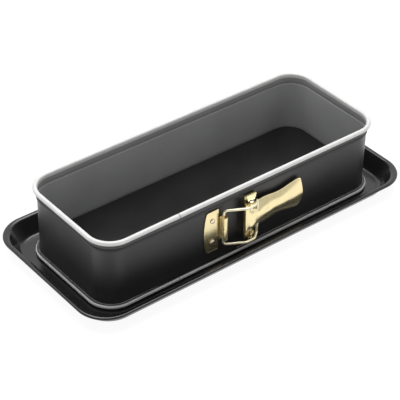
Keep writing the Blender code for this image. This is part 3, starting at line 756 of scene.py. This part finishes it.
def closed_tube(name, rings):
    """Closed solid through rings of places, [ring, side, xyz], with a flat face at each end."""
    number = np.arange(rings.shape[0] * rings.shape[1]).reshape(rings.shape[:2])
    beyond = np.roll(number, -1, axis=1)
    walls = np.stack([number[:-1], beyond[:-1], beyond[1:], number[1:]], axis=-1).reshape(-1, 4)
    faces = [tuple(wall) for wall in walls.tolist()]
    faces += [tuple(number[0][::-1].tolist()), tuple(number[-1].tolist())]
    return finished_mesh(name, rings.reshape(-1, 3), faces)


def turned(name, profile, foot, axis, sides=40):
    """Turned solid: (distance, radius) pairs carried round an axis from its foot."""
    axis = np.array(axis, dtype=float)
    across = np.array([1.0, 0.0, 0.0])
    turn = np.linspace(0, 2 * math.pi, sides, endpoint=False)
    circle = np.cos(turn)[:, None] * across + np.sin(turn)[:, None] * np.cross(axis, across)
    along, radius = np.array(profile).T
    return closed_tube(name, foot + along[:, None, None] * axis + radius[:, None, None] * circle)


def domed_head(base, radius, height, steps=8):
    """Profile of a low dome: a short straight rim, then a quarter ellipse to a small flat."""
    turn = np.linspace(0, dome_turn_share * math.pi / 2, steps)
    rim = height * dome_rim_share
    dome = [(base + rim + (height - rim) * math.sin(t), radius * math.cos(t)) for t in turn]
    return [(base, radius)] + dome


head_brass = plated_brass("plated_brass_head", (1.0, 0.88, 0.70), 0.20, along=(1, 1, 1), bump=0.02)
under_head = bracket_half_height + seam_gap
upper_end = [(0, pin_radius), (under_head, pin_radius)]
upper_end += domed_head(under_head, pin_head_radius, pin_head_height)
lower_end = [(-along, radius) for along, radius in upper_end[:0:-1]]
pin = turned("hinge_pin", lower_end + upper_end, in_front(pivot[0], pivot[1], 0), (0, 0, 1))
pin.data.materials.append(head_brass)
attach(pin, "band")
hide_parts("lever_pin")

rivet_rows = {
    # name: x, rise and fall from the latch's middle, inner side and outer side of the sheets, body
    "keeper_rivet": (-0.0405, 0.0111, tongue_lift - band_sheet, keeper_middle + plate_sheet / 2, "arm"),
    "bracket_rivet": (0.0012, 0.0050, -band_sheet, seam_gap + plate_sheet, "band"),
}
for rivet_name, (x, rise, inner_side, outer_side, body) in rivet_rows.items():
    foot = inner_side - rivet_tail
    for ending, height in (("lower", -rise), ("upper", rise)):
        seat = outer_side + seam_gap - foot
        profile = [(0, rivet_shank_radius), (seat, rivet_shank_radius)]
        profile += domed_head(seat, rivet_head_radius, rivet_head_height)
        rivet = turned(f"{rivet_name}_head_{ending}", profile, in_front(x, foot, height), (0, -1, 0))
        rivet.data.materials.append(head_brass)
        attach(rivet, body)
        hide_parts(f"{rivet_name}_{ending}")


# Lever. One pressing of brass-plated sheet: an arched handle with a narrow lip along its edges,
# waisted, flared at its tip, and fanned out to a curl along its left end.
lever_sheet = 0.0009
curl_centre = (-0.0078, 0.0080)
curl_radius = 0.00115
curl_half_height = 0.0178
curl_end_half_height = 0.0166
curl_taper_share = 1 - curl_end_half_height / curl_half_height
curl_start_degrees = 395
lever_rounding = 0.00018
lever_end_x = 0.0585
tip_corner = 0.0035
arch_share = 0.94
lever_plan = np.array([
    # along, half height, crest, edge, fullness of the arch
    (-0.0078, 0.0166, 0.00915, 0.00915, 2.4),
    (-0.0064, 0.0161, 0.01040, 0.00800, 2.6),
    (-0.0050, 0.0155, 0.01150, 0.00680, 2.9),
    (-0.0032, 0.0145, 0.01200, 0.00560, 3.2),
    (-0.0010, 0.0132, 0.01190, 0.00480, 3.4),
    (0.0010, 0.0123, 0.01150, 0.00450, 3.2),
    (0.0040, 0.0117, 0.01090, 0.00430, 2.8),
    (0.0090, 0.0131, 0.00990, 0.00410, 2.2),
    (0.0140, 0.0135, 0.00910, 0.00380, 2.0),
    (0.0200, 0.0130, 0.00830, 0.00350, 2.0),
    (0.0280, 0.0118, 0.00720, 0.00310, 2.0),
    (0.0330, 0.0117, 0.00690, 0.00300, 2.0),
    (0.0370, 0.0121, 0.00680, 0.00300, 2.0),
    (0.0440, 0.0135, 0.00650, 0.00290, 2.0),
    (0.0520, 0.0148, 0.00620, 0.00280, 2.0),
    (0.0585, 0.0151, 0.00580, 0.00280, 2.0),
])


def smooth_through(places, values, at):
    """Cubic through the values, whose slope at each place is that of the chords beside it."""
    slopes = np.gradient(values, places)
    index = np.clip(np.searchsorted(places, at) - 1, 0, len(places) - 2)
    width = places[index + 1] - places[index]
    t = (at - places[index]) / width
    return ((2 * t ** 3 - 3 * t ** 2 + 1) * values[index] + (3 * t ** 2 - 2 * t ** 3) * values[index + 1]
            + width * ((t ** 3 - 2 * t ** 2 + t) * slopes[index] + (t ** 3 - t ** 2) * slopes[index + 1]))


def lever_grid():
    """Middle of the lever's sheet, [along, across, xyz].

    Across, the standoff is the edge's plus the arch's height times one less the share's power,
    and the lips past the arch stay at the edge's standoff. The curl's rows are straight lines
    round a circle, longest at its left.
    """
    across = arch_share * np.sin(np.linspace(-1, 1, 45) * math.pi / 2)
    across = np.concatenate([[-1, -(1 + arch_share) / 2], across, [(1 + arch_share) / 2, 1]])
    along = np.concatenate([
        np.linspace(lever_plan[0, 0], 0.0, 22)[1:],
        np.linspace(0.0, lever_end_x - tip_corner, 56)[1:],
        lever_end_x - tip_corner * (1 - np.sin(np.linspace(0, math.pi / 2, 10)[1:])),
    ])
    half, crest, edge, fullness = [smooth_through(lever_plan[:, 0], values, along)
                                   for values in lever_plan.T[1:]]
    past = np.clip((along - lever_end_x + tip_corner) / tip_corner, 0, 1)
    half = half - tip_corner * (1 - np.sqrt(1 - past ** 2))
    arch = np.clip(1 - np.abs(across / arch_share) ** fullness[:, None], 0, 1)
    body = in_front(along[:, None], edge[:, None] + (crest - edge)[:, None] * arch, half[:, None] * across)
    turn = np.radians(np.linspace(curl_start_degrees, 90, 22))
    before_left = np.clip((turn - math.pi) / math.pi, 0, 1)
    past_left = np.clip(2 - 2 * turn / math.pi, 0, 1)
    taper = 1 - curl_taper_share * (before_left + past_left ** 2)
    x = curl_centre[0] + curl_radius * np.cos(turn)
    standoff = curl_centre[1] + curl_radius * np.sin(turn)
    curl = in_front(x[:, None], standoff[:, None], curl_half_height * taper[:, None] * across)
    return np.vstack([curl, body])


faces = thick_sheet(lever_grid(), lever_sheet)
lever = shell("lever_sheet", faces[0], faces[1])
eased_edges(lever, lever_rounding)
lever.data.materials.append(sheet_brass)
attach(lever, "lever")
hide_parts("lever")


# Bail. One length of brass-plated wire: its closed end lies in the keeper's hook, its two legs bow
# over the ears, and its ends turn in through the lever's sides.
bail_pivot = (0.0046, 0.0082)
stub_rise = 0.0060
leg_rise = 0.0180
bow_right_x = -0.0026
bow_left_x = -0.0115
bow_standoff = 0.0139
bail_bends = [0.0026, 0.0055, 0.0055, 0.0035]


def wire(name, path, radius, sides=20):
    """Round wire: a circle carried along a path, square to it and upright to the outward direction."""
    step = np.diff(path, axis=0)
    step /= np.linalg.norm(step, axis=1)[:, None]
    ahead = np.vstack([step[:1], step[:-1] + step[1:], step[-1:]])
    ahead /= np.linalg.norm(ahead, axis=1)[:, None]
    side = np.cross(ahead, (0.0, -1.0, 0.0))
    side /= np.linalg.norm(side, axis=1)[:, None]
    upright = np.cross(side, ahead)
    turn = np.linspace(0, 2 * math.pi, sides, endpoint=False)[None, :, None]
    circle = np.cos(turn) * side[:, None] + np.sin(turn) * upright[:, None]
    return closed_tube(name, path[:, None] + radius * circle)


half_path = [(*bail_pivot, stub_rise), (*bail_pivot, leg_rise), (bow_right_x, bow_standoff, leg_rise),
             (bow_left_x, bow_standoff, leg_rise), (*hook_wire, leg_rise)]
corners = np.array(half_path + [(x, standoff, -rise) for x, standoff, rise in reversed(half_path)])
bent = filleted(corners, bail_bends + bail_bends[::-1], steps=12)
bail = wire("bail_wire", in_front(bent[:, 0], bent[:, 1], bent[:, 2]), wire_radius)
# The wire's brass is tinted paler than the sheet's. That paleness is partly the wire's own cleaner plating
# and partly painted highlight, standing in for the bright glints along the wire.
bail.data.materials.append(
    plated_brass("plated_brass_wire", (1.0, 0.91, 0.65), 0.22, along=(1, 1, 1), bump=0.02, metallic=0.65)
)
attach(bail, "bail")
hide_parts("bail")
